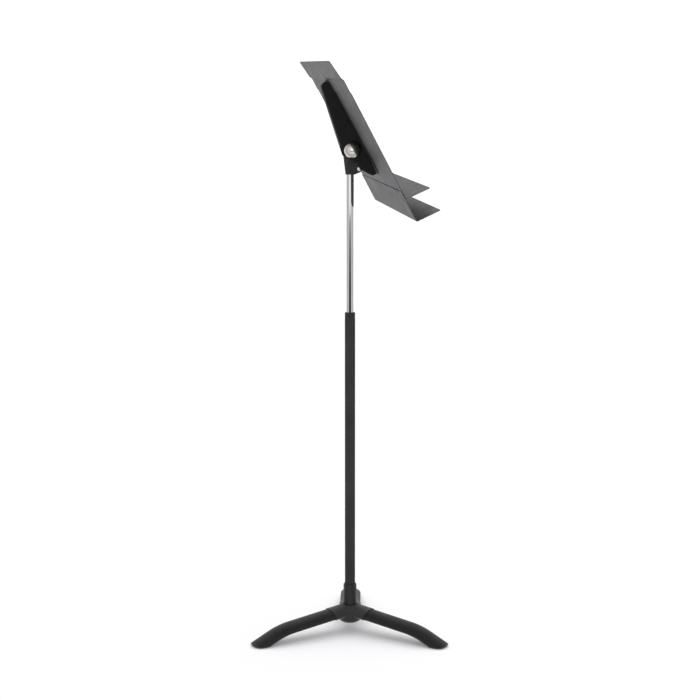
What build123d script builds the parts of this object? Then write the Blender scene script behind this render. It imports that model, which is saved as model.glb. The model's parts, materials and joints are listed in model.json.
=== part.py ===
from build123d import *
import os
from math import atan2, cos, hypot, radians, sin, tan

# Orchestra music stand, in millimetres. +Z is up and the origin is on the floor, on the post's
# axis. The desk faces -Y (the player's side) and is symmetric about the YZ plane.

# ---- sheet and tube stock ----
SHEET = 1.2                 # desk sheet
BRACKET_SHEET = 1.5         # desk bracket and head bracket sheet
OUTER_TUBE_R = 11.1         # 7/8 inch tube
OUTER_TUBE_WALL = 1.5
INNER_TUBE_R = 7.95         # 5/8 inch tube
INNER_TUBE_WALL = 1.2
FIT = 0.05                  # radial clearance of a running or sliding fit
GAP = 0.3                   # side clearance between bodies that move

# ---- heights of the post ----
OUTER_TUBE_BOTTOM = 30.0
OUTER_TUBE_TOP = 690.0
INNER_TUBE_BOTTOM = 345.0
INNER_TUBE_TOP = 1025.0
GUIDE_LENGTH = 29.5
CLIP_THICKNESS = 1.2
CLIP_R = 9.2
CLIP_MOUTH = 4.0
BUSH_SHOULDER = [(11.1, 698.5), (10.5, 700.0), (9.1, 701.0)]      # radius, height
CLUTCH_BOTTOM = 600.0
CLUTCH_TOP = 676.0
CLUTCH_ROOT = 14.0          # the closed ring that the fingers stand on
CLUTCH_SLOT = 2.0
BAND = (666.0, 670.0)       # heights of the clutch's spring band
BAND_THICKNESS = 0.6
BAND_MOUTH = 3.0

# ---- base ----
LEG_TURNS = {"right": -8.7, "rear": 111.3, "front": -128.7}
LEG_WIDTH = 45.0
LEG_HEIGHT = 23.0
LEG_WALL = 1.8
LEG_START_R = 28.0          # inner end of a leg, inside its socket
LEG_TIP_R = 237.5
LEG_SHALLOW = 6.8           # slope of the inner stretch, degrees
LEG_STEEP = 24.5            # slope of the outer stretch, degrees
LEG_BEND_RADIUS = 150.0
LEG_BEND_R = 167.7          # where the two centre lines would meet
LEG_BEND_Z = 24.8
LEG_RUN_OUT = 20.0          # the centre line runs on past the tip before it is cut
SOLE = 4.5                  # thickness of a foot under the leg
FOOT_ROUND = 6.0            # rounding along a foot's lower edge
FOOT_CORNER = 19.0          # rounding of a foot's corners, seen from above
PLUG_START_R = 205.0
SOCKET_PROUD = 1.4          # the hub's arms stand this far out from the legs
SOCKET_FIT = 0.1
SOCKET_END_TOP = (52.0, 52.0)      # slanted mouth of a socket: radius and height of two points
SOCKET_END_LOW = (42.0, 28.0)
HUB_SIDE = [(15.0, 17.0), (24.0, 22.5), (28.8, 34.0), (27.8, 46.0), (17.5, 57.0)]     # radius, height
HUB_BLEND = 6.0             # fillet between the hub's middle and its arms
COLLAR_SIDE = [(15.0, 57.0), (14.3, 99.0), (13.4, 102.2), (12.4, 103.0)]              # radius, height

# ---- desk, in its own upright frame: y to the back, z up the slope, origin at the pivot ----
PIVOT_Y = -3.5              # the pivot lies a little in front of the post's axis
PIVOT_Z = 1042.3
LEAN = 27.9                 # degrees the desk leans back
DESK_WIDTH = 508.0          # 20 inches
FRONT_Y = -23.1             # front face of the desk
UPPER_ROOT = -105.3
LOWER_ROOT = -154.2
SEAM = -89.1                # top edge of the lower sheet
UPPER_SHELF = 52.0
LOWER_SHELF = 51.4
UPPER_SHELF_DROP = 3.9      # degrees below square to the desk
LOWER_SHELF_DROP = 3.0
STEP_1 = (121.3, 126.3, 1.1)       # start, end and offset to the back of each pressed step
STEP_2 = (151.3, 157.3, 4.1)
DESK_TOP = (196.8, 8.8)
SHELF_BEND = 1.6
STEP_BEND = 3.0
TOP_CORNER = 10.0
SHELF_CORNER = 6.0

# ---- desk bracket ----
CHEEK = 13.0                # half width over the cheeks
SPINE_AT_PIVOT = 21.8       # spine behind the pivot
SPINE_TAPER = 0.1715        # how fast the spine closes on the desk going up
SPINE_END = 19.0            # the spine stops here, so that it clears the post when the desk lies flat
CHEEK_HEEL = -2.7           # lower rear corner of a cheek
CHEEK_WAIST = (6.5, -28.0)  # the cheek is cut back here, clear of the post's lug
CHEEK_KNEE = (0.5, -49.0)
CHEEK_TOE = (-12.0, -68.0)
BRACKET_TOP = 148.5
HEEL_ROUND = 2.0
WAIST_ROUND = 20.0
KNEE_ROUND = 6.0
TOE_ROUND = 7.0
CROWN_ROUND = 9.0
SPINE_ROUND = 3.0
FLANGE_BOTTOM = -66.0
FLANGE_TOP_HALF = 26.0
FLANGE_BOTTOM_HALF = 66.0
FLANGE_TOP_ROUND = 12.0
FLANGE_BOTTOM_ROUND = 22.0
FLANGE_STEP = 120.8         # the flange is stepped here, as the desk is

# ---- head bracket and tilt pivot ----
HEAD_FRONT = [(-8.0, 991.0), (-21.0, 996.0), (-25.6, 1001.0), (-25.6, 1010.0)]        # y, z
SLEEVE_TOP = 1031.0
REAR_FLARE = 0.12           # how far the back wall leans out per unit of height
EAR_R = 11.0
EAR_NECK = (-10.0, 1034.0)  # where the ears' necks meet the ears at the back: y, z
LUG_RIVET = (18.4, 1002.6)
STUD_R = 4.0
STUD_HALF = 22.0
WASHER_THICKNESS = 1.7
DOME_R = 18.5
DOME_HEIGHT = 14.0
DOME_WALL = 1.4
BOSS_R = 7.0
SPRING_STACK = 1.6
SPRING_R = 9.0
SPRING_BORE_R = 4.2
SPRING_THICKNESS = 0.8
SPACER_R = 6.5

# ---- fasteners ----
RIVET_R = 2.0
RIVET_HEAD_R = 3.8
RIVET_DOME = 1.6            # height of a rivet's head behind the desk
RIVET_FRONT = 0.8           # and in front of it
HEAD_RIVET_R = 3.0
HEAD_RIVET_HEAD_R = 4.6
HEAD_RIVET_HEIGHT = 1.5
BOLT_R = 4.0
BOLT_FLAT = 6.5             # half width of the hexagon head across its flats
BOLT_HEAD = (18.6, 24.0)    # heights of the head
BOLT_END = 46.0
WASHER_R = 8.0
WASHER_TOP = 25.6           # the floor of the hub's recess, where the washer bears
RECESS_R = 10.0
TUBE_PLUG_TOP = 48.0
SCREW_R = 37.0              # radius at which a leg screw stands
SCREW_SHANK_R = 2.5
SCREW_HEAD_R = 4.5
SCREW_HEAD = (25.2, 27.6)   # heights of a leg screw's head
SCREW_END = 37.0
BRACKET_RIVET_ROWS = [(70.0, 22.0), (10.0, 36.0), (-50.0, 36.0)]      # height, half spacing
SHELF_RIVET_X = [60.0, 150.0, 235.0]
SHELF_RIVET_Z = -96.2

HUB_BOTTOM = HUB_SIDE[0][1]
HEAD_BOTTOM = HEAD_FRONT[0][1]
HUB_TOP = HUB_SIDE[-1][1]
TUBE_BORE = OUTER_TUBE_R - OUTER_TUBE_WALL
SLEEVE_R = TUBE_BORE - FIT                 # nylon pieces inside the outer tube
PIVOT = Pos(0, PIVOT_Y, PIVOT_Z)
DESK_PLACE = PIVOT * Rot(-LEAN, 0, 0)
DESK_BACK_Y = FRONT_Y + SHEET
HEAD_INNER = INNER_TUBE_R + FIT
HEAD_OUTER = HEAD_INNER + BRACKET_SHEET
REACH = 60.0                # half size of cutting shapes, well past what they cut


def ring(r_out, r_in, z_low, z_high):
    """An upright ring between two heights."""
    height = z_high - z_low
    solid = Cylinder(r_out, height) - Cylinder(r_in, height * 2)
    return Pos(0, 0, (z_low + z_high) / 2) * solid


def rod(radius, z_low, z_high):
    return Pos(0, 0, (z_low + z_high) / 2) * Cylinder(radius, z_high - z_low)


def cross_rod(radius, half_length):
    """A rod along X, centred on the origin."""
    return Rot(0, 90, 0) * Cylinder(radius, half_length * 2)


def back_rod(radius, y_low, y_high):
    """A rod along Y, on the axis X = Z = 0."""
    return Pos(0, (y_low + y_high) / 2, 0) * Rot(90, 0, 0) * Cylinder(radius, y_high - y_low)


def spun(points):
    """A solid turned about Z from (radius, height) points."""
    return revolve(Plane.XZ * make_face(Polyline(*points, close=True)), Axis.Z)


def domed(rim_radius, height):
    """A shallow solid dome on the XY plane."""
    ball = (rim_radius ** 2 + height ** 2) / (2 * height)
    half_turn = atan2(rim_radius, ball - height) / 2
    middle = (ball * sin(half_turn), height - ball + ball * cos(half_turn))
    arc = ThreePointArc((rim_radius, 0), middle, (0, height))
    outline = make_face([Line((0, 0), (rim_radius, 0)), arc, Line((0, height), (0, 0))])
    return revolve(Plane.XZ * outline, Axis.Z)


def side_slab(points, half_width):
    """A slab across X from an outline of (y, z) points."""
    return extrude(Plane.YZ * make_face(Polyline(*points, close=True)), half_width, both=True)


def write(name, shape):
    shape.label = name
    export_step(shape, "parts/" + name + ".step")


# ---------------------------------------------------------------- base

def leg_line(start_r):
    """Centre line of a leg in the XZ plane, X being the distance from the post's axis."""
    rise = (LEG_BEND_R - start_r) * tan(radians(LEG_SHALLOW))
    fall = (LEG_TIP_R + LEG_RUN_OUT - LEG_BEND_R) * tan(radians(LEG_STEEP))
    points = [(start_r, 0, LEG_BEND_Z + rise), (LEG_BEND_R, 0, LEG_BEND_Z),
              (LEG_TIP_R + LEG_RUN_OUT, 0, LEG_BEND_Z - fall)]
    return FilletPolyline(*points, radius=LEG_BEND_RADIUS)


def leg_section(grow):
    """A leg's oval section, grown on every side."""
    return Ellipse(LEG_WIDTH / 2 + grow, LEG_HEIGHT / 2 + grow)


def leg_sweep(start_r, grow):
    """A leg's section swept along the centre line."""
    line = leg_line(start_r)
    frame = Plane(origin=line @ 0, x_dir=(0, 1, 0), z_dir=line % 0)
    return sweep(frame * leg_section(grow), path=line)


def leg_envelope():
    """The space of a leg and its foot: above the floor, with round corners and a round lower edge."""
    plan = Pos(LEG_TIP_R / 2, 0) * Rectangle(LEG_TIP_R, LEG_WIDTH)
    plan = fillet(plan.vertices().group_by(Axis.X)[-1], FOOT_CORNER)
    block = extrude(plan, 3 * LEG_HEIGHT)
    return fillet(block.edges().group_by(Axis.Z)[0], FOOT_ROUND)


def tube_space():
    """The part of a leg's envelope that the metal tube fills: above the sole, behind the nose."""
    end = LEG_TIP_R - FOOT_ROUND
    return Pos(end / 2, 0, SOLE + REACH) * Box(end, 2 * REACH, 2 * REACH)


def make_leg():
    tube = leg_sweep(LEG_START_R, 0) - leg_sweep(LEG_START_R, -LEG_WALL)
    leg = tube & leg_envelope() & tube_space()
    return leg - Pos(SCREW_R, 0, 0) * rod(SCREW_SHANK_R, 0, SCREW_END)


def make_foot():
    """Sole and nose under the leg's end, with a plug that fills the tube."""
    sole = (leg_sweep(LEG_START_R, 0) & leg_envelope()) - tube_space()
    plug_space = Pos(PLUG_START_R + REACH, 0, 0) * Box(2 * REACH, 2 * REACH, 2 * REACH)
    plug = leg_sweep(LEG_START_R, -LEG_WALL - SOCKET_FIT) & leg_envelope() & plug_space
    return sole + plug


def make_leg_screw():
    seat = SCREW_HEAD[1]
    return Pos(SCREW_R, 0, 0) * (rod(SCREW_HEAD_R, *SCREW_HEAD) + rod(SCREW_SHANK_R, seat, SCREW_END))


def straight_arm(start_r, grow):
    """The hub's arm or its socket: the leg's inner stretch as one straight flat oval."""
    slope = radians(LEG_SHALLOW)
    height = LEG_BEND_Z + (LEG_BEND_R - start_r) * tan(slope)
    frame = Plane(origin=(start_r, 0, height), x_dir=(0, 1, 0), z_dir=(cos(slope), 0, -sin(slope)))
    return extrude(frame * leg_section(grow), 2 * REACH)


def make_arm():
    """One arm, cut to the slant of its socket's mouth."""
    slant = (SOCKET_END_TOP[0] - SOCKET_END_LOW[0]) / (SOCKET_END_TOP[1] - SOCKET_END_LOW[1])
    foot_r = SOCKET_END_LOW[0] - slant * SOCKET_END_LOW[1]
    top_r = foot_r + slant * HUB_TOP
    outline = Polyline((0, 0), (foot_r, 0), (top_r, HUB_TOP), (0, HUB_TOP), close=True)
    window = extrude(Plane.XZ * make_face(outline), LEG_WIDTH, both=True)
    return straight_arm(0, SOCKET_PROUD) & window


def make_hub_middle():
    """The bell-shaped middle of the hub, from its flat bottom to the collar's seat."""
    side = Spline(*[(radius, 0, height) for radius, height in HUB_SIDE])
    outline = make_face([Line((0, 0, HUB_BOTTOM), side @ 0), side, Line(side @ 1, (0, 0, HUB_TOP)),
                         Line((0, 0, HUB_TOP), (0, 0, HUB_BOTTOM))])
    return revolve(outline, Axis.Z)


def is_blend(edge):
    """True for the long edges where an arm leaves the hub's middle."""
    centre = edge.center()
    return hypot(centre.X, centre.Y) < SCREW_R and edge.length > 2 * REACH


def make_hub():
    hub = Rot(0, 0, LEG_TURNS["right"] + 180) * make_hub_middle()
    for turn in LEG_TURNS.values():
        hub += Rot(0, 0, turn) * make_arm()
    hub = fillet(hub.edges().filter_by(is_blend), HUB_BLEND)
    for turn in LEG_TURNS.values():
        screw = rod(SCREW_HEAD_R + SOCKET_FIT, 0, SCREW_HEAD[1]) + rod(SCREW_SHANK_R, 0, SCREW_END)
        hub -= Rot(0, 0, turn) * (straight_arm(LEG_START_R - 1, SOCKET_FIT) + Pos(SCREW_R, 0, 0) * screw)
    hub -= rod(OUTER_TUBE_R + FIT, OUTER_TUBE_BOTTOM, HUB_TOP + 1)
    hub -= rod(BOLT_R + SOCKET_FIT, 0, HUB_TOP)
    return hub - rod(RECESS_R, 0, WASHER_TOP)


def make_collar():
    bore = OUTER_TUBE_R + FIT
    return spun([(bore, HUB_TOP)] + COLLAR_SIDE + [(bore, COLLAR_SIDE[-1][1])])


def make_base_bolt():
    low, high = BOLT_HEAD
    hexagon = RegularPolygon(BOLT_FLAT, 6, major_radius=False)
    return Pos(0, 0, low) * extrude(hexagon, high - low) + rod(BOLT_R, high, BOLT_END)


# ---------------------------------------------------------------- post

def make_top_bush():
    """Bush that closes the outer tube, with a sleeve down to the clutch."""
    bore, low = INNER_TUBE_R + FIT, CLUTCH_TOP + 2
    return spun([(bore, low), (TUBE_BORE, low), (TUBE_BORE, OUTER_TUBE_TOP), (OUTER_TUBE_R, OUTER_TUBE_TOP)]
                + BUSH_SHOULDER + [(bore, BUSH_SHOULDER[-1][1])])


def make_clutch():
    """Split sleeve: four fingers stand up from a closed ring, with a groove for the band."""
    sleeve = ring(SLEEVE_R, INNER_TUBE_R + FIT, CLUTCH_BOTTOM, CLUTCH_TOP)
    fingers = CLUTCH_TOP - CLUTCH_BOTTOM - CLUTCH_ROOT
    slot = Pos(0, 0, CLUTCH_TOP) * Box(REACH, CLUTCH_SLOT, 2 * fingers)
    sleeve -= slot
    sleeve -= Rot(0, 0, 90) * slot
    return sleeve - ring(REACH, SLEEVE_R - BAND_THICKNESS, *BAND)


def make_clutch_ring():
    band = ring(SLEEVE_R, SLEEVE_R - BAND_THICKNESS, *BAND)
    return band - Pos(SLEEVE_R, 0, BAND[0]) * Box(SLEEVE_R, BAND_MOUTH, REACH)


def make_bush_clips():
    """Two open rings, one under and one over the guide bush."""
    clip = ring(CLIP_R, INNER_TUBE_R, 0, CLIP_THICKNESS)
    clip -= Pos(CLIP_R, 0, 0) * Box(INNER_TUBE_R, CLIP_MOUTH, REACH)
    low = INNER_TUBE_BOTTOM + 2
    high = low + CLIP_THICKNESS + GAP + GUIDE_LENGTH + GAP
    return Compound(children=[Pos(0, 0, low) * clip, Pos(0, 0, high) * clip])


def make_guide_bush():
    low = INNER_TUBE_BOTTOM + 2 + CLIP_THICKNESS + GAP
    return ring(SLEEVE_R, INNER_TUBE_R + FIT, low, low + GUIDE_LENGTH)


def make_head_bracket():
    """Sheet folded round the inner tube, with a lug in front and two ears up to the pivot."""
    top = PIVOT_Z + EAR_R + 1
    outer = Circle(HEAD_OUTER) + Pos(0, -REACH / 2) * Rectangle(2 * HEAD_OUTER, REACH)
    inner = Circle(HEAD_INNER) + Pos(0, -REACH) * Rectangle(2 * HEAD_INNER, 2 * REACH)
    fold = extrude(Pos(0, 0, HEAD_BOTTOM) * (outer - inner), top - HEAD_BOTTOM, dir=(0, REAR_FLARE, 1))
    fold -= rod(INNER_TUBE_R, HEAD_BOTTOM - 1, INNER_TUBE_TOP)
    neck_y, neck_z = EAR_NECK
    outline = side_slab([(REACH, HEAD_BOTTOM)] + HEAD_FRONT
                        + [(PIVOT_Y - EAR_R + 1, PIVOT_Z), (PIVOT_Y, PIVOT_Z), (neck_y, neck_z),
                           (neck_y, SLEEVE_TOP), (REACH, SLEEVE_TOP)], REACH)
    bracket = fold & (outline + PIVOT * cross_rod(EAR_R, REACH))
    bracket -= PIVOT * cross_rod(STUD_R + FIT, REACH)
    return bracket - Pos(0, -LUG_RIVET[0], LUG_RIVET[1]) * cross_rod(HEAD_RIVET_R, REACH)


def make_head_rivet():
    head = domed(HEAD_RIVET_HEAD_R, HEAD_RIVET_HEIGHT)
    rivet = cross_rod(HEAD_RIVET_R, HEAD_OUTER)
    for side in (-1, 1):
        rivet += Pos(side * HEAD_OUTER, 0, 0) * Rot(0, side * 90, 0) * head
    return Pos(0, -LUG_RIVET[0], LUG_RIVET[1]) * rivet


def make_friction_washers():
    disc = cross_rod(EAR_R, WASHER_THICKNESS / 2) - cross_rod(STUD_R + FIT, REACH)
    offset = HEAD_OUTER + WASHER_THICKNESS / 2
    return Compound(children=[PIVOT * Pos(side * offset, 0, 0) * disc for side in (-1, 1)])


def make_pivot_spacer():
    return PIVOT * (cross_rod(SPACER_R, HEAD_INNER) - cross_rod(STUD_R + FIT, REACH))


# ---------------------------------------------------------------- desk

def bent_sheet(points, radii):
    """Sheet as wide as the desk, behind or below a line of (y, z) points."""
    line = FilletPolyline(*points, radius=radii)
    section = make_face(offset(line, amount=SHEET, side=Side.RIGHT, closed=True))
    return extrude(Plane.YZ * section, DESK_WIDTH / 2, both=True)


def shelf_tip(root_y, root_z, length, drop):
    turn = radians(drop)
    return (root_y - length * cos(turn), root_z - length * sin(turn))


def corner_edges(sheet):
    """The short edges through the sheet at its free corners."""
    return sheet.edges().filter_by(lambda edge: abs(edge.length - SHEET) < FIT)


def rivet_holes(places):
    """Cutters through the desk sheets at (x, z) places."""
    cutter = back_rod(RIVET_R, FRONT_Y - SHEET, FRONT_Y + REACH / 10)
    return Compound(children=[Pos(x, 0, z) * cutter for x, z in places])


def bracket_rivet_places():
    return [(side * half, z) for z, half in BRACKET_RIVET_ROWS for side in (-1, 1)]


def shelf_rivet_places():
    return [(side * x, SHELF_RIVET_Z) for x in SHELF_RIVET_X for side in (-1, 1)]


def make_desk_panel():
    points = [shelf_tip(FRONT_Y, UPPER_ROOT, UPPER_SHELF, UPPER_SHELF_DROP),
              (FRONT_Y, UPPER_ROOT),
              (FRONT_Y, STEP_1[0]), (FRONT_Y + STEP_1[2], STEP_1[1]),
              (FRONT_Y + STEP_1[2], STEP_2[0]), (FRONT_Y + STEP_2[2], STEP_2[1]),
              (FRONT_Y + DESK_TOP[1], DESK_TOP[0])]
    panel = bent_sheet(points, [SHELF_BEND] + [STEP_BEND] * 4)
    panel = fillet(corner_edges(panel).sort_by(Axis.Y)[:2], SHELF_CORNER)
    panel = fillet(corner_edges(panel).sort_by(Axis.Z)[-2:], TOP_CORNER)
    return panel - rivet_holes(bracket_rivet_places() + shelf_rivet_places())


def make_lower_shelf():
    points = [shelf_tip(DESK_BACK_Y, LOWER_ROOT, LOWER_SHELF, LOWER_SHELF_DROP),
              (DESK_BACK_Y, LOWER_ROOT), (DESK_BACK_Y, SEAM)]
    sheet = bent_sheet(points, [SHELF_BEND])
    sheet = fillet(corner_edges(sheet).sort_by(Axis.Y)[:2], SHELF_CORNER)
    return sheet - rivet_holes(shelf_rivet_places())


def spine_y(z, inset):
    """Outer face of the spine at a height, moved in square to itself by the inset."""
    return SPINE_AT_PIVOT - SPINE_TAPER * z - inset * hypot(1, SPINE_TAPER)


def make_cheeks():
    """The bracket's channel: two cheeks and the spine, open to the desk and at the bottom."""
    stepped = DESK_BACK_Y + STEP_1[2]
    heel = (spine_y(CHEEK_HEEL, 0), CHEEK_HEEL)
    crown = (spine_y(BRACKET_TOP, 0), BRACKET_TOP)
    profile = make_face(Polyline((DESK_BACK_Y, CHEEK_TOE[1]), CHEEK_TOE, CHEEK_KNEE, CHEEK_WAIST, heel,
                                 crown, (stepped, BRACKET_TOP), (stepped, FLANGE_STEP),
                                 (DESK_BACK_Y, FLANGE_STEP), close=True))
    rounds = ((crown, CROWN_ROUND), (heel, HEEL_ROUND), (CHEEK_WAIST, WAIST_ROUND),
              (CHEEK_KNEE, KNEE_ROUND), (CHEEK_TOE, TOE_ROUND))
    for corner, radius in rounds:
        profile = fillet(profile.vertices().sort_by_distance((*corner, 0))[0], radius)
    outer = extrude(Plane.YZ * profile, CHEEK, both=True)
    spine = outer.edges().filter_by(lambda edge: edge.length > 3 * CHEEK)
    outer = fillet(spine.filter_by(lambda edge: edge.center().Y > spine_y(edge.center().Z, 1)), SPINE_ROUND)
    return outer - make_channel_space()


def make_channel_space():
    """The space inside the channel, which also cuts the spine off at its lower end."""
    top = BRACKET_TOP - BRACKET_SHEET
    crown = (spine_y(top, BRACKET_SHEET), top)
    outline = make_face(Polyline((-REACH, -2 * REACH), (REACH, -2 * REACH), (REACH, SPINE_END),
                                 (spine_y(SPINE_END, BRACKET_SHEET), SPINE_END), crown, (-REACH, top),
                                 close=True))
    corner = outline.vertices().sort_by_distance((*crown, 0))[0]
    outline = fillet(corner, CROWN_ROUND - BRACKET_SHEET)
    return extrude(Plane.YZ * outline, CHEEK - BRACKET_SHEET, both=True)


def make_flange(y_low, z_low, z_high):
    """One flat stretch of the bracket's flange, cut from the whole outline."""
    top = BRACKET_TOP + BRACKET_SHEET
    outline = make_face(Polyline((-FLANGE_BOTTOM_HALF, FLANGE_BOTTOM), (-FLANGE_TOP_HALF, top),
                                 (FLANGE_TOP_HALF, top), (FLANGE_BOTTOM_HALF, FLANGE_BOTTOM), close=True))
    outline = fillet(outline.vertices().sort_by(Axis.Y)[-2:], FLANGE_TOP_ROUND)
    outline = fillet(outline.vertices().sort_by(Axis.Y)[:2], FLANGE_BOTTOM_ROUND)
    middle = Pos(0, (FLANGE_BOTTOM + BRACKET_TOP) / 2 - BRACKET_SHEET)
    outline -= middle * Rectangle(2 * (CHEEK - BRACKET_SHEET), BRACKET_TOP - FLANGE_BOTTOM)
    outline &= Pos(0, (z_low + z_high) / 2) * Rectangle(4 * REACH, z_high - z_low)
    plane = Plane(origin=(0, y_low + BRACKET_SHEET, 0), x_dir=(1, 0, 0), z_dir=(0, -1, 0))
    return extrude(plane * outline, BRACKET_SHEET)


def make_desk_bracket():
    bracket = make_cheeks()
    bracket += make_flange(DESK_BACK_Y, FLANGE_BOTTOM, FLANGE_STEP)
    bracket += make_flange(DESK_BACK_Y + STEP_1[2], FLANGE_STEP, BRACKET_TOP + REACH)
    bracket -= rivet_holes(bracket_rivet_places())
    return bracket - cross_rod(STUD_R, REACH)


def make_bracket_rivets():
    """Rivets through the desk and the flange, domed behind and low in front."""
    back = DESK_BACK_Y + BRACKET_SHEET
    head = Pos(0, back, 0) * Rot(-90, 0, 0) * domed(RIVET_HEAD_R, RIVET_DOME)
    rivet = back_rod(RIVET_R, FRONT_Y, back) + head
    rivet += back_rod(RIVET_HEAD_R, FRONT_Y - RIVET_FRONT, FRONT_Y)
    return Compound(children=[Pos(x, 0, z) * rivet for x, z in bracket_rivet_places()])


def make_shelf_rivets():
    rivet = back_rod(RIVET_R, FRONT_Y, FRONT_Y + 2 * SHEET)
    return Compound(children=[Pos(x, 0, z) * rivet for x, z in shelf_rivet_places()])


def make_dome_cap(side):
    """Hollow dome with a threaded boss inside, which screws on to the stud."""
    shell = domed(DOME_R, DOME_HEIGHT) - domed(DOME_R - DOME_WALL, DOME_HEIGHT - DOME_WALL)
    boss = rod(BOSS_R, SPRING_STACK, DOME_HEIGHT - DOME_WALL / 2) & domed(DOME_R, DOME_HEIGHT)
    cap = shell + boss - rod(STUD_R, 0, STUD_HALF - CHEEK)
    return Pos(side * CHEEK, 0, 0) * Rot(0, side * 90, 0) * cap


def make_disc_springs():
    """One conical spring under each cap, its rim on the cheek."""
    profile = make_face(Polyline((SPRING_BORE_R, SPRING_STACK - SPRING_THICKNESS), (SPRING_R, 0),
                                 (SPRING_R, SPRING_THICKNESS), (SPRING_BORE_R, SPRING_STACK), close=True))
    cone = Pos(CHEEK, 0, 0) * Rot(0, 90, 0) * revolve(Plane.XZ * profile, Axis.Z)
    return Compound(children=[cone, mirror(cone, Plane.YZ)])


# ---------------------------------------------------------------- output

def write_base():
    write("base_hub", make_hub())
    leg, foot, screw = make_leg(), make_foot(), make_leg_screw()
    for place, turn in LEG_TURNS.items():
        write("leg_" + place, Rot(0, 0, turn) * leg)
        write("foot_" + place, Rot(0, 0, turn) * foot)
    write("leg_screws", Compound(children=[Rot(0, 0, turn) * screw for turn in LEG_TURNS.values()]))
    write("collar", make_collar())
    write("base_bolt", make_base_bolt())
    write("base_washer", ring(WASHER_R, BOLT_R, BOLT_HEAD[1], WASHER_TOP))
    write("tube_plug", ring(TUBE_BORE, BOLT_R, OUTER_TUBE_BOTTOM, TUBE_PLUG_TOP))


def write_post():
    write("outer_tube", ring(OUTER_TUBE_R, TUBE_BORE, OUTER_TUBE_BOTTOM, OUTER_TUBE_TOP))
    write("top_bush", make_top_bush())
    write("friction_clutch", make_clutch())
    write("clutch_ring", make_clutch_ring())
    write("guide_bush", make_guide_bush())
    write("bush_clips", make_bush_clips())
    hollow = INNER_TUBE_R - INNER_TUBE_WALL
    write("inner_tube", ring(INNER_TUBE_R, hollow, INNER_TUBE_BOTTOM, INNER_TUBE_TOP))
    write("head_bracket", make_head_bracket())
    write("head_rivet", make_head_rivet())
    write("friction_washers", make_friction_washers())
    write("pivot_spacer", make_pivot_spacer())


def write_desk():
    pieces = {
        "desk_panel": make_desk_panel(),
        "lower_shelf": make_lower_shelf(),
        "desk_bracket": make_desk_bracket(),
        "bracket_rivets": make_bracket_rivets(),
        "shelf_rivets": make_shelf_rivets(),
        "pivot_stud": cross_rod(STUD_R, STUD_HALF),
        "disc_springs": make_disc_springs(),
        "dome_cap_left": make_dome_cap(-1),
        "dome_cap_right": make_dome_cap(1),
    }
    for name, piece in pieces.items():
        write(name, DESK_PLACE * piece)


os.makedirs("parts", exist_ok=True)
write_base()
write_post()
write_desk()
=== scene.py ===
import json
from math import cos, radians, sin, tan

import bpy
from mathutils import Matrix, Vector


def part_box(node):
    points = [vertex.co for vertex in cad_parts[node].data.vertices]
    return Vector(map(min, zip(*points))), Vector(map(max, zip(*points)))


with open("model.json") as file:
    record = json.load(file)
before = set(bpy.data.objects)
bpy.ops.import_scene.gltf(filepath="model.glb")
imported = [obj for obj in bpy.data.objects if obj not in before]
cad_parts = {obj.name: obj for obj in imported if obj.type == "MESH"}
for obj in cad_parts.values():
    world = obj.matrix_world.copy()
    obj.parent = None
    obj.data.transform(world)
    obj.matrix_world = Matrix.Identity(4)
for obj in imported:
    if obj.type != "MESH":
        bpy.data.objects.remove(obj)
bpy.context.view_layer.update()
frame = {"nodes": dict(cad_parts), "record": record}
nodes = frame["nodes"]

# Lengths are in metres and angles in degrees, where nothing else is said.

# ---------------------------------------------------------------- camera and studio

CAMERA_DISTANCE = 3.297     # from the post's axis
CAMERA_HEIGHT = 1.212
CAMERA_TURN = 8.15          # behind the stand's side
CAMERA_PITCH = 10.19        # down
CAMERA_LENS = 81.1          # focal length and sensor width, millimetres
CAMERA_SENSOR = 36.0
CAMERA_NEAR = 0.05
CAMERA_FAR = 100

FLOOR_SIZE = 80
FLOOR_TONE = (0.80, 0.80, 0.81)
FLOOR_GLOW = 0.17           # keeps the floor near white outside the shadow

LAMP_ANGLE = 80             # a very broad lamp, so its shadows are soft
LAMP_STRENGTH = 2.15
LAMP_TINT = (1.0, 0.99, 0.985)
LAMP_LEAN = 0.3             # towards the backdrop, so the shadow falls towards the camera

SKY_WALLS = (               # brightness of the room, from the camera's side (0) to the backdrop (1)
    (0.0, 0.85), (0.12, 0.75), (0.35, 0.40), (1.0, 1.15),
)
SKY_CEILING = (0.5, 0.9)    # upward part of a direction, where the walls end and where the ceiling starts
SKY_TOP = 0.45              # brightness of the ceiling, as a share of the walls
SKY_TINT = (1.0, 0.985, 1.0)

CARD_RISE = 4.5             # power that a card's glow grows by, from its foot to its top
SIDE_CARD_SIZE = (5.2, 0.92)
SIDE_CARD_HEIGHT = 0.11     # of its middle; its foot is under the floor, which reflections don't show
SIDE_CARD_AWAY = -4.0       # behind the camera
SIDE_CARD_GLOW = (0.008, 0.62)
DOME_CARD_SIZE = (0.5, 0.52)
DOME_CARD_OFFSET = (-0.08, 0.02, -1.1)      # from the dome: across, up and away
DOME_CARD_GLOW = (1.3, 1.3)


def studio_place(right, up, away):
    """A point given by its place across, above the floor and beyond the post."""
    turn = radians(CAMERA_TURN)
    ahead = Vector((cos(turn), -sin(turn), 0))
    across = Vector((-sin(turn), -cos(turn), 0))
    return across * right + Vector((0, 0, up)) + ahead * away


def face(thing, direction):
    """Turns a camera, lamp or sheet so that its own -Z looks along a direction."""
    thing.rotation_mode = "QUATERNION"
    thing.rotation_quaternion = direction.to_track_quat("-Z", "Y")


def put_in_scene(name, data):
    thing = bpy.data.objects.new(name, data)
    bpy.context.scene.collection.objects.link(thing)
    return thing


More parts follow.
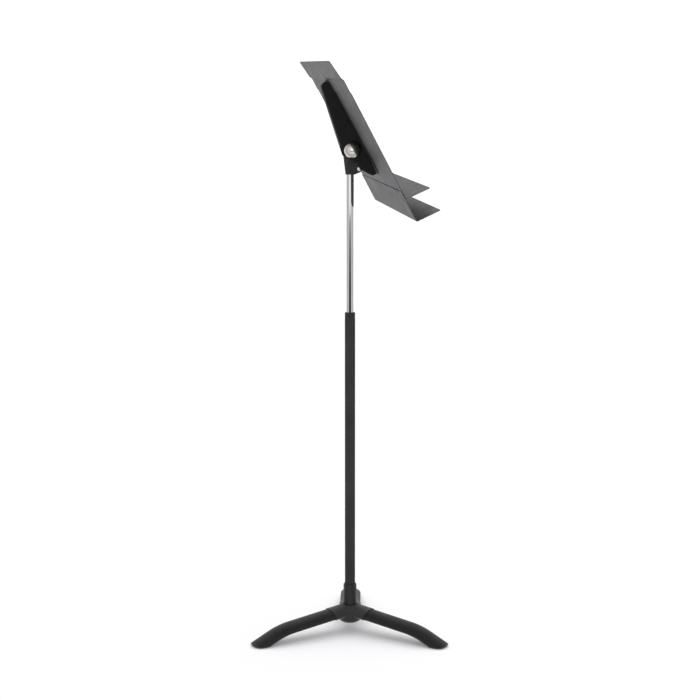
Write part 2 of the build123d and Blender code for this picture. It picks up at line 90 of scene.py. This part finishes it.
def add_camera():
    camera = put_in_scene("camera", bpy.data.cameras.new("camera"))
    camera.location = studio_place(0, CAMERA_HEIGHT, -CAMERA_DISTANCE)
    face(camera, studio_place(0, -tan(radians(CAMERA_PITCH)), 1))
    camera.data.sensor_width = CAMERA_SENSOR
    camera.data.lens = CAMERA_LENS
    camera.data.clip_start = CAMERA_NEAR
    camera.data.clip_end = CAMERA_FAR
    bpy.context.scene.camera = camera


def stage_sheet(name, width, height):
    """A flat sheet in the XY plane, with a plain material of its own."""
    mesh = bpy.data.meshes.new(name)
    x, y = width / 2, height / 2
    mesh.from_pydata([(-x, -y, 0), (x, -y, 0), (x, y, 0), (-x, y, 0)], [], [(0, 1, 2, 3)])
    sheet = put_in_scene(name, mesh)
    material = bpy.data.materials.new(name)
    material.use_nodes = True
    mesh.materials.append(material)
    return sheet


def ranged(tree, value, start, end, low, high):
    """A value moved from one range to another and held at its ends."""
    node = tree.nodes.new("ShaderNodeMapRange")
    limits = {"From Min": start, "From Max": end, "To Min": low, "To Max": high}
    for key, number in limits.items():
        node.inputs[key].default_value = number
    tree.links.new(value, node.inputs["Value"])
    return node.outputs["Result"]


def component(tree, vector, axis):
    node = tree.nodes.new("ShaderNodeSeparateXYZ")
    tree.links.new(vector, node.inputs["Vector"])
    return node.outputs[axis]


def add_floor():
    floor = stage_sheet("floor", FLOOR_SIZE, FLOOR_SIZE)
    shader = floor.data.materials[0].node_tree.nodes["Principled BSDF"]
    shader.inputs["Base Color"].default_value = (*FLOOR_TONE, 1)
    shader.inputs["Roughness"].default_value = 1.0
    shader.inputs["Specular IOR Level"].default_value = 0.0
    shader.inputs["Emission Color"].default_value = (*FLOOR_TONE, 1)
    shader.inputs["Emission Strength"].default_value = FLOOR_GLOW
    floor.visible_glossy = False


def add_card(name, place, target, size, glow):
    """An upright card that only reflections show; its glow grows slowly from its foot, then fast."""
    card = stage_sheet(name, *size)
    card.location = place
    face(card, place - target)
    card.visible_camera = False
    card.visible_diffuse = False
    card.visible_shadow = False
    tree = card.data.materials[0].node_tree
    rise = tree.nodes.new("ShaderNodeMath")
    rise.operation = "POWER"
    rise.inputs[1].default_value = CARD_RISE
    on_card = tree.nodes.new("ShaderNodeTexCoord").outputs["Generated"]
    tree.links.new(component(tree, on_card, "Y"), rise.inputs[0])
    light = tree.nodes.new("ShaderNodeEmission")
    tree.links.new(ranged(tree, rise.outputs["Value"], 0, 1, *glow), light.inputs["Strength"])
    tree.links.new(light.outputs["Emission"], tree.nodes["Material Output"].inputs["Surface"])


def add_cards():
    """A dark card behind the camera for the chrome tube and a bright one in front of the dome cap."""
    side = studio_place(0, SIDE_CARD_HEIGHT, SIDE_CARD_AWAY)
    add_card("camera_side_card", side, Vector((0, 0, SIDE_CARD_HEIGHT)), SIDE_CARD_SIZE, SIDE_CARD_GLOW)
    low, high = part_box("dome_cap_left")
    dome = (Vector(low) + Vector(high)) / 2
    add_card("dome_card", dome + studio_place(*DOME_CARD_OFFSET), dome, DOME_CARD_SIZE, DOME_CARD_GLOW)


def sky_walls(tree, direction):
    """Brightness of the room's walls in a direction, from the camera's side to the backdrop."""
    along = tree.nodes.new("ShaderNodeVectorMath")
    along.operation = "DOT_PRODUCT"
    along.inputs[1].default_value = studio_place(0, 0, 1)
    tree.links.new(direction, along.inputs[0])
    ramp = tree.nodes.new("ShaderNodeValToRGB")
    stops = ramp.color_ramp.elements
    for position, glow in SKY_WALLS[1:-1]:
        stops.new(position)
    for stop, (position, glow) in zip(stops, SKY_WALLS):
        stop.color = (glow, glow, glow, 1)
    tree.links.new(ranged(tree, along.outputs["Value"], -1, 1, 0, 1), ramp.inputs["Fac"])
    return ramp.outputs["Color"]


def add_sky():
    """A white backdrop to look at; the room that lights the stand is dimmer on the camera's side."""
    world = bpy.data.worlds.new("studio")
    bpy.context.scene.world = world
    world.use_nodes = True
    tree = world.node_tree
    direction = tree.nodes.new("ShaderNodeTexCoord").outputs["Generated"]
    room = tree.nodes.new("ShaderNodeMath")
    room.operation = "MULTIPLY"
    tree.links.new(sky_walls(tree, direction), room.inputs[0])
    ceiling = ranged(tree, component(tree, direction, "Z"), *SKY_CEILING, 1, SKY_TOP)
    tree.links.new(ceiling, room.inputs[1])
    seen = tree.nodes.new("ShaderNodeMath")
    seen.operation = "MAXIMUM"
    tree.links.new(room.outputs["Value"], seen.inputs[0])
    tree.links.new(tree.nodes.new("ShaderNodeLightPath").outputs["Is Camera Ray"], seen.inputs[1])
    background = tree.nodes["Background"]
    background.inputs["Color"].default_value = (*SKY_TINT, 1)
    tree.links.new(seen.outputs["Value"], background.inputs["Strength"])


def add_lamp():
    lamp = put_in_scene("lamp", bpy.data.lights.new("lamp", "SUN"))
    face(lamp, -studio_place(0, 1, LAMP_LEAN))
    lamp.data.energy = LAMP_STRENGTH
    lamp.data.angle = radians(LAMP_ANGLE)
    lamp.data.color = LAMP_TINT
    lamp.visible_glossy = False


def add_studio():
    add_sky()
    add_floor()
    add_lamp()
    add_cards()
    bpy.context.scene.view_settings.view_transform = "Standard"


# ---------------------------------------------------------------- materials
# A noise's scale is in cells per metre, so 1700 is a grain of about 0.6 mm.

NOISE_SPAN = (0.3, 0.7)     # where nearly all of a noise's values lie
ROUGH_SPREAD = 0.07         # how far the roughness of paint and plastic strays to either side


def shaded(tone, share):
    return [share * channel for channel in tone]


class Paint:
    """A node material with short helpers for the graph."""

    def __init__(self, name):
        self.material = bpy.data.materials.new(name)
        self.material.use_nodes = True
        self.tree = self.material.node_tree
        self.shader = self.tree.nodes["Principled BSDF"]
        self.place = self.tree.nodes.new("ShaderNodeTexCoord").outputs["Object"]

    def link(self, start, end):
        self.tree.links.new(start, end)

    def noise(self, scale, detail, roughness=0.5, stretch=None):
        node = self.tree.nodes.new("ShaderNodeTexNoise")
        node.inputs["Scale"].default_value = scale
        node.inputs["Detail"].default_value = detail
        node.inputs["Roughness"].default_value = roughness
        place = self.place
        if stretch:
            mapping = self.tree.nodes.new("ShaderNodeMapping")
            mapping.inputs["Scale"].default_value = stretch
            self.link(self.place, mapping.inputs["Vector"])
            place = mapping.outputs["Vector"]
        self.link(place, node.inputs["Vector"])
        return node.outputs["Fac"]

    def peaks(self, value, start, end):
        """Only the tops of a noise: 0 up to start, 1 from end."""
        return ranged(self.tree, value, start, end, 0, 1)

    def blend(self, value, extra, share):
        """The value with a share of another added to it."""
        node = self.tree.nodes.new("ShaderNodeMath")
        node.operation = "MULTIPLY_ADD"
        self.link(extra, node.inputs[0])
        node.inputs[1].default_value = share
        self.link(value, node.inputs[2])
        return node.outputs["Value"]

    def colours(self, value, low, high, span=NOISE_SPAN):
        node = self.tree.nodes.new("ShaderNodeValToRGB")
        for stop, position, tone in zip(node.color_ramp.elements, span, (low, high)):
            stop.position = position
            stop.color = (*tone, 1)
        self.link(value, node.inputs["Fac"])
        self.link(node.outputs["Color"], self.shader.inputs["Base Color"])

    def rough(self, value, low, high):
        self.link(ranged(self.tree, value, *NOISE_SPAN, low, high), self.shader.inputs["Roughness"])

    def bump(self, layers):
        """Height layers as (value, strength, distance), each over the one before."""
        normal = None
        for value, strength, distance in layers:
            node = self.tree.nodes.new("ShaderNodeBump")
            node.inputs["Strength"].default_value = strength
            node.inputs["Distance"].default_value = distance
            self.link(value, node.inputs["Height"])
            if normal:
                self.link(normal, node.inputs["Normal"])
            normal = node.outputs["Normal"]
        self.link(normal, self.shader.inputs["Normal"])


def powder_coat(name, tone, roughness, grain, gloss):
    """Textured powder coat: fine pebbles over slow orange peel, with rubbed patches and hairline scuffs."""
    paint = Paint(name)
    paint.shader.inputs["Specular IOR Level"].default_value = gloss
    pebble = paint.noise(scale=1700, detail=2)
    peel = paint.noise(scale=240, detail=2)
    cloud = paint.noise(scale=11, detail=4, roughness=0.6)
    scuff = paint.peaks(paint.noise(scale=55, detail=3, roughness=0.55, stretch=(1, 14, 3)), 0.64, 0.70)
    speck = paint.peaks(paint.noise(scale=420, detail=1), 0.66, 0.72)
    dust = paint.blend(paint.blend(cloud, scuff, 0.25), speck, 0.2)
    paint.colours(dust, shaded(tone, 0.8), shaded(tone, 1.35), span=(0.3, 0.85))
    rubbed = paint.blend(paint.noise(scale=38, detail=5, roughness=0.65), scuff, -0.15)
    paint.rough(rubbed, roughness - ROUGH_SPREAD, roughness + ROUGH_SPREAD)
    paint.bump([(peel, 0.14 * grain, 0.0004), (pebble, 0.4 * grain, 0.00014)])
    return paint.material


def plated(name, tone, roughness, brushed=None):
    """Bright plating with a faint haze, a few pinhead marks and fine polishing lines."""
    paint = Paint(name)
    paint.shader.inputs["Metallic"].default_value = 1.0
    haze = paint.noise(scale=25, detail=4, roughness=0.6)
    marks = paint.peaks(paint.noise(scale=520, detail=1), 0.70, 0.74)
    paint.colours(paint.blend(haze, marks, -0.3), shaded(tone, 0.93), tone)
    paint.rough(haze, roughness * 0.7, roughness * 1.5)
    if brushed:
        lines = paint.noise(scale=3000, detail=2, stretch=brushed)
    else:
        lines = paint.noise(scale=700, detail=3)
    paint.bump([(lines, 0.02, 0.00005)])
    return paint.material


def moulded(name, tone, roughness):
    """Moulded plastic or rubber with a fine spark-eroded grain and a slow sink."""
    paint = Paint(name)
    grain = paint.noise(scale=2200, detail=1.5)
    sink = paint.noise(scale=45, detail=1)
    cloud = paint.noise(scale=30, detail=4, roughness=0.6)
    paint.colours(cloud, shaded(tone, 0.85), shaded(tone, 1.2))
    paint.rough(paint.noise(scale=90, detail=4), roughness - ROUGH_SPREAD, roughness + ROUGH_SPREAD)
    paint.bump([(sink, 0.06, 0.0006), (grain, 0.3, 0.0001)])
    return paint.material


POWDER_COATS = {            # tone, roughness, grain and gloss
    # the desk's tone sits a little above its black paint's own: partly its real tone, partly a painted
    # sheen that lifts the tops of its shelves
    "desk": ((0.055, 0.055, 0.058), 0.5, 1.0, 0.28),
    "bracket": ((0.010, 0.010, 0.0105), 0.6, 1.0, 0.25),
    "post": ((0.042, 0.042, 0.043), 0.62, 0.6, 0.08),
    "leg": ((0.0125, 0.0125, 0.013), 0.55, 0.8, 0.35),
    "hub": ((0.038, 0.0375, 0.0385), 0.5, 0.8, 0.25),
}


def make_materials():
    """One material for each of the record's material slots."""
    coats = {f"{part}_paint": powder_coat(f"{part}_powder_coat", *values)
             for part, values in POWDER_COATS.items()}
    return {
        **coats,
        "black_plastic": moulded("black_nylon", (0.012, 0.012, 0.0125), 0.42),
        "foot_rubber": moulded("foot_rubber", (0.017, 0.017, 0.0175), 0.62),
        "nylon": moulded("natural_nylon", (0.62, 0.6, 0.55), 0.45),
        "chrome": plated("chrome_plate", (0.8, 0.8, 0.82), 0.05, brushed=(1, 1, 0.02)),
        "nickel": plated("nickel_plate", (0.86, 0.83, 0.78), 0.07),
        "zinc_steel": plated("zinc_plate", (0.62, 0.62, 0.64), 0.3),
    }


# ---------------------------------------------------------------- CAD nodes

WELD_REACH = 1e-5
EDGE_ANGLE = 35             # only edges that turn more than this are softened
EDGE_SEGMENTS = 2
EDGES = {                   # width of each node's softened edges
    "base_hub": 0.0008, "collar": 0.0006, "outer_tube": 0.0003, "top_bush": 0.0004, "inner_tube": 0.0003,
    "desk_panel": 0.0004, "lower_shelf": 0.0004, "desk_bracket": 0.0004, "head_bracket": 0.0005,
}


def soften(piece, width):
    """Rounds a node's edges, as pressing, casting and paint do, and keeps its flat faces flat."""
    weld = piece.modifiers.new("weld", "WELD")
    weld.merge_threshold = WELD_REACH
    bevel = piece.modifiers.new("bevel", "BEVEL")
    bevel.width = width
    bevel.segments = EDGE_SEGMENTS
    bevel.limit_method = "ANGLE"
    bevel.angle_limit = radians(EDGE_ANGLE)
    bevel.use_clamp_overlap = True
    flats = piece.modifiers.new("flats", "WEIGHTED_NORMAL")
    flats.mode = "FACE_AREA"
    flats.weight = 100


def finish_nodes(materials):
    slots = {entry["node"]: entry["material_slot"] for entry in frame["record"]["subparts"]}
    for name, width in EDGES.items():
        soften(nodes[name], width)
    for name, piece in nodes.items():
        piece.data.materials.clear()
        piece.data.materials.append(materials[slots[name]])


add_camera()
add_studio()
finish_nodes(make_materials())
